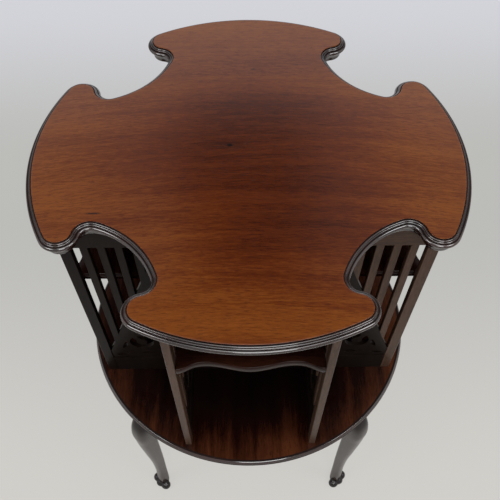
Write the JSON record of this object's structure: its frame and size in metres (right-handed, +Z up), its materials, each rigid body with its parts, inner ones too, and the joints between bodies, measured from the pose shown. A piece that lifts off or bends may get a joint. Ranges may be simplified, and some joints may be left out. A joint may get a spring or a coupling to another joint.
{
  "type": "revolving bookcase",
  "caption": "Round mahogany side table whose cross-shaped slatted bookcase turns on a spindle over cabriole legs; lobed top with notched corners and a moulded edge.",
  "frame": {"origin": "on the turning axis, at floor level", "axes": "+Z up along the turning axis, -Y towards the viewer, +X to the viewer's right, arms along X and Y, legs on the diagonals"},
  "size_m": [0.5254, 0.5254, 0.738],
  "materials": {
    "top_wood": "polished mahogany, orange brown to red brown",
    "shelf_wood": "polished dark mahogany",
    "case_wood": "satin dark mahogany",
    "leg_wood": "satin dark mahogany",
    "iron": "dark iron",
    "brass": "dull brass",
    "steel": "dark steel"
  },
  "bodies": {
    "base": {"back_right_leg": "leg_wood", "back_left_leg": "leg_wood", "front_left_leg": "leg_wood", "front_right_leg": "leg_wood", "lower_cross_rail": "leg_wood", "upper_cross_rail": "leg_wood", "spindle": "iron", "flange_screws": "steel"},
    "case": {"top_board": "top_wood", "bottom_shelf": "shelf_wood", "right_arm_left_stile": "case_wood", "right_arm_left_top_rail": "case_wood", "right_arm_left_bottom_rail": "case_wood", "right_arm_left_slats": "case_wood", "right_arm_left_fret": "case_wood", "right_arm_right_stile": "case_wood", "right_arm_right_top_rail": "case_wood", "right_arm_right_bottom_rail": "case_wood", "right_arm_right_slats": "case_wood", "right_arm_right_fret": "case_wood", "back_arm_left_stile": "case_wood", "back_arm_left_top_rail": "case_wood", "back_arm_left_bottom_rail": "case_wood", "back_arm_left_slats": "case_wood", "back_arm_left_fret": "case_wood", "back_arm_right_stile": "case_wood", "back_arm_right_top_rail": "case_wood", "back_arm_right_bottom_rail": "case_wood", "back_arm_right_slats": "case_wood", "back_arm_right_fret": "case_wood", "left_arm_left_stile": "case_wood", "left_arm_left_top_rail": "case_wood", "left_arm_left_bottom_rail": "case_wood", "left_arm_left_slats": "case_wood", "left_arm_left_fret": "case_wood", "left_arm_right_stile": "case_wood", "left_arm_right_top_rail": "case_wood", "left_arm_right_bottom_rail": "case_wood", "left_arm_right_slats": "case_wood", "left_arm_right_fret": "case_wood", "front_arm_left_stile": "case_wood", "front_arm_left_top_rail": "case_wood", "front_arm_left_bottom_rail": "case_wood", "front_arm_left_slats": "case_wood", "front_arm_left_fret": "case_wood", "front_arm_right_stile": "case_wood", "front_arm_right_top_rail": "case_wood", "front_arm_right_bottom_rail": "case_wood", "front_arm_right_slats": "case_wood", "front_arm_right_fret": "case_wood", "right_mid_shelf": "shelf_wood", "right_column_board": "case_wood", "back_mid_shelf": "shelf_wood", "back_column_board": "case_wood", "left_mid_shelf": "shelf_wood", "left_column_board": "case_wood", "front_mid_shelf": "shelf_wood", "front_column_board": "case_wood", "shelf_bush": "brass", "pivot_cup": "iron"}
  },
  "joints": [
    {"name": "case_spin", "type": "hinge", "parent": "base", "child": "case", "pos_m": [0, 0, 0.347], "axis": [0, 0, 1], "continuous": true}
  ]
}
